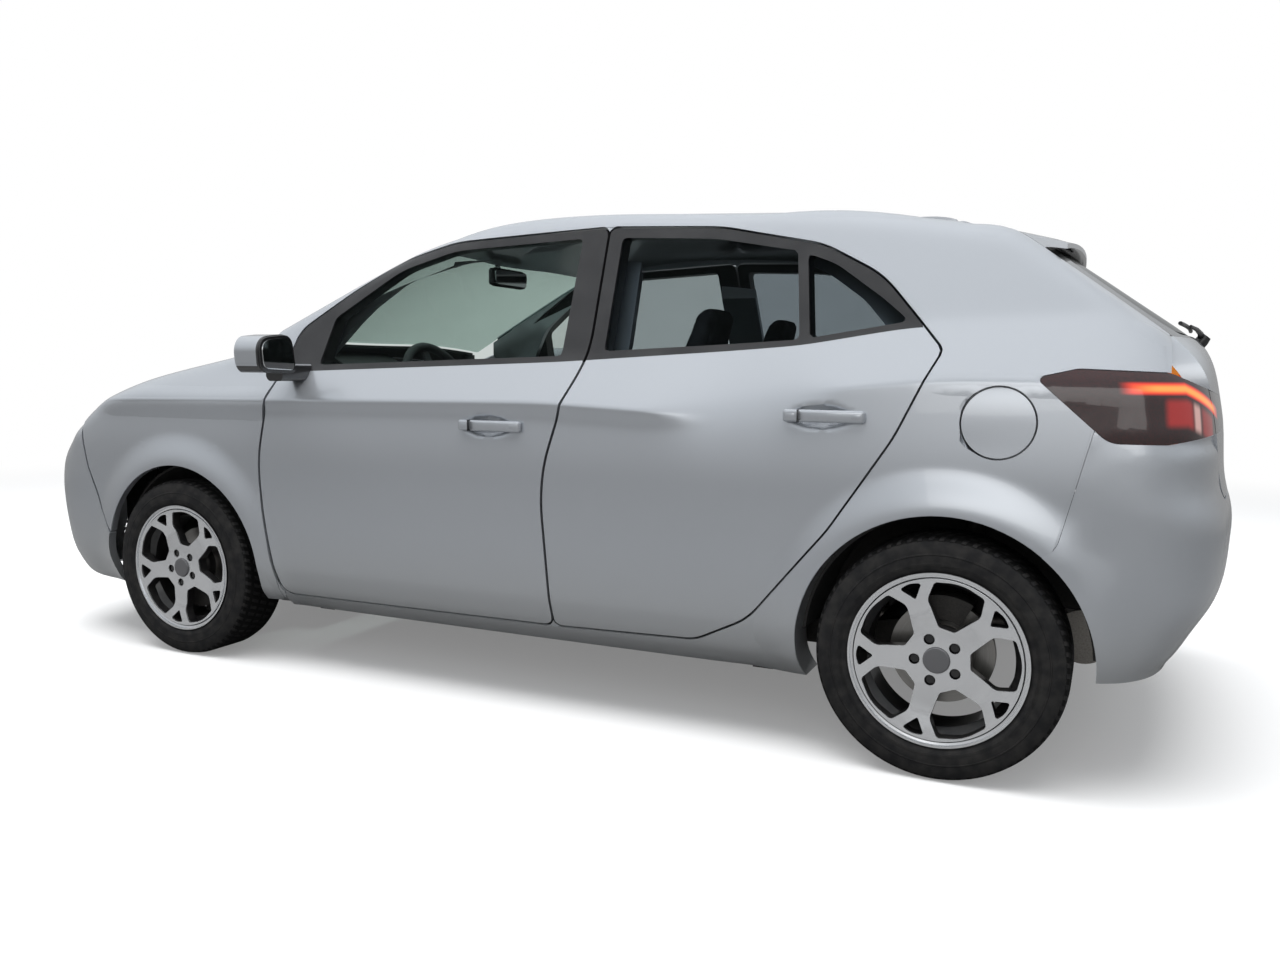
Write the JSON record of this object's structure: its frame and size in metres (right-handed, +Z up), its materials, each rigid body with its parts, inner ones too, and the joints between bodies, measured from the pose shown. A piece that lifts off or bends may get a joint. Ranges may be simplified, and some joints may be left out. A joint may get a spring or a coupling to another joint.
{
  "type": "hatchback car",
  "caption": "Small five-door hatchback with opening doors, bonnet, tailgate and fuel flap, steered front wheels and rolling wheels.",
  "frame": {"origin": "on the ground under the middle of the car", "axes": "+X forward along the car, +Y to its left, +Z up"},
  "size_m": [4.113, 2.0574, 1.4995],
  "materials": {
    "paint": "metallic silver, clear coat",
    "underbody": "sealed, matt",
    "windscreen_glass": "clear",
    "side_glass": "green tint",
    "dark_glass": "dark tint",
    "black_plastic": "grained",
    "clear_lens": "moulded lens",
    "red_lens": "moulded lens",
    "dash_plastic": "soft grained",
    "seat_fabric": "woven",
    "cast_metal": "cast",
    "chassis_steel": "painted, dusty",
    "exhaust_steel": "heat tinted",
    "mirror_housing": "painted",
    "machined_alloy": "machined face, black pockets",
    "tyre": "rubber"
  },
  "bodies": {
    "root": {"floor_pan": "underbody", "side_frames": "paint", "fenders": "paint", "roof": "paint", "windscreen": "windscreen_glass", "cowl": "black_plastic", "front_bumper": "paint", "grille": "black_plastic", "headlamps": "clear_lens", "rear_bumper": "paint", "tail_lamps": "red_lens", "dashboard": "dash_plastic", "steering_wheel": "dash_plastic", "front_seats": "seat_fabric", "rear_bench": "seat_fabric", "engine": "cast_metal", "front_subframe": "chassis_steel", "rear_axle": "chassis_steel", "exhaust": "exhaust_steel"},
    "bonnet": {"bonnet": "paint"},
    "tailgate": {"tailgate": "paint", "tailgate_glass": "dark_glass", "spoiler": "paint", "tailgate_lamps": "red_lens"},
    "fuel_flap": {"fuel_flap": "paint"},
    "door_front_left": {"door_front_left": "paint", "glass_front_left": "side_glass", "mirror_left": "mirror_housing"},
    "door_rear_left": {"door_rear_left": "paint", "glass_rear_left": "side_glass"},
    "knuckle_left": {"knuckle_left": "chassis_steel"},
    "wheel_front_left": {"rim_front_left": "machined_alloy", "tyre_front_left": "tyre"},
    "wheel_rear_left": {"rim_rear_left": "machined_alloy", "tyre_rear_left": "tyre"},
    "door_front_right": {"door_front_right": "paint", "glass_front_right": "side_glass", "mirror_right": "mirror_housing"},
    "door_rear_right": {"door_rear_right": "paint", "glass_rear_right": "side_glass"},
    "knuckle_right": {"knuckle_right": "chassis_steel"},
    "wheel_front_right": {"rim_front_right": "machined_alloy", "tyre_front_right": "tyre"},
    "wheel_rear_right": {"rim_rear_right": "machined_alloy", "tyre_rear_right": "tyre"}
  },
  "joints": [
    {"name": "bonnet_hinge", "type": "hinge", "parent": "root", "child": "bonnet", "pos_m": [0.895, 0, 0.952], "axis": [0, -1, 0], "range_deg": [0, 50]},
    {"name": "tailgate_hinge", "type": "hinge", "parent": "root", "child": "tailgate", "pos_m": [-1.3, 0, 1.42015], "axis": [0, 1, 0], "range_deg": [0, 80]},
    {"name": "door_front_left_hinge", "type": "hinge", "parent": "root", "child": "door_front_left", "pos_m": [0.745, 0.8509, 0.57], "axis": [0, 0, -1], "range_deg": [0, 65]},
    {"name": "door_rear_left_hinge", "type": "hinge", "parent": "root", "child": "door_rear_left", "pos_m": [-0.339, 0.85431, 0.57], "axis": [0, 0, -1], "range_deg": [0, 65]},
    {"name": "door_front_right_hinge", "type": "hinge", "parent": "root", "child": "door_front_right", "pos_m": [0.745, -0.8509, 0.57], "axis": [0, 0, 1], "range_deg": [0, 65]},
    {"name": "door_rear_right_hinge", "type": "hinge", "parent": "root", "child": "door_rear_right", "pos_m": [-0.339, -0.85431, 0.57], "axis": [0, 0, 1], "range_deg": [0, 65]},
    {"name": "fuel_flap_hinge", "type": "hinge", "parent": "root", "child": "fuel_flap", "pos_m": [-1.426, 0.83556, 0.895], "axis": [0, 0, -1], "range_deg": [0, 95]},
    {"name": "steer_left", "type": "hinge", "parent": "root", "child": "knuckle_left", "pos_m": [1.1885, 0.742, 0.308], "axis": [0, 0, 1], "range_deg": [-35, 35]},
    {"name": "steer_right", "type": "hinge", "parent": "root", "child": "knuckle_right", "pos_m": [1.1885, -0.742, 0.308], "axis": [0, 0, 1], "range_deg": [-35, 35]},
    {"name": "wheel_front_left_spin", "type": "hinge", "parent": "knuckle_left", "child": "wheel_front_left", "pos_m": [1.1885, 0.775, 0.308], "axis": [0, 1, 0], "continuous": true},
    {"name": "wheel_rear_left_spin", "type": "hinge", "parent": "root", "child": "wheel_rear_left", "pos_m": [-1.3815, 0.775, 0.308], "axis": [0, 1, 0], "continuous": true},
    {"name": "wheel_front_right_spin", "type": "hinge", "parent": "knuckle_right", "child": "wheel_front_right", "pos_m": [1.1885, -0.775, 0.308], "axis": [0, 1, 0], "continuous": true},
    {"name": "wheel_rear_right_spin", "type": "hinge", "parent": "root", "child": "wheel_rear_right", "pos_m": [-1.3815, -0.775, 0.308], "axis": [0, 1, 0], "continuous": true}
  ],
  "couplings": [
    {"joint": "steer_right", "follows": "steer_left", "ratio": 1}
  ]
}
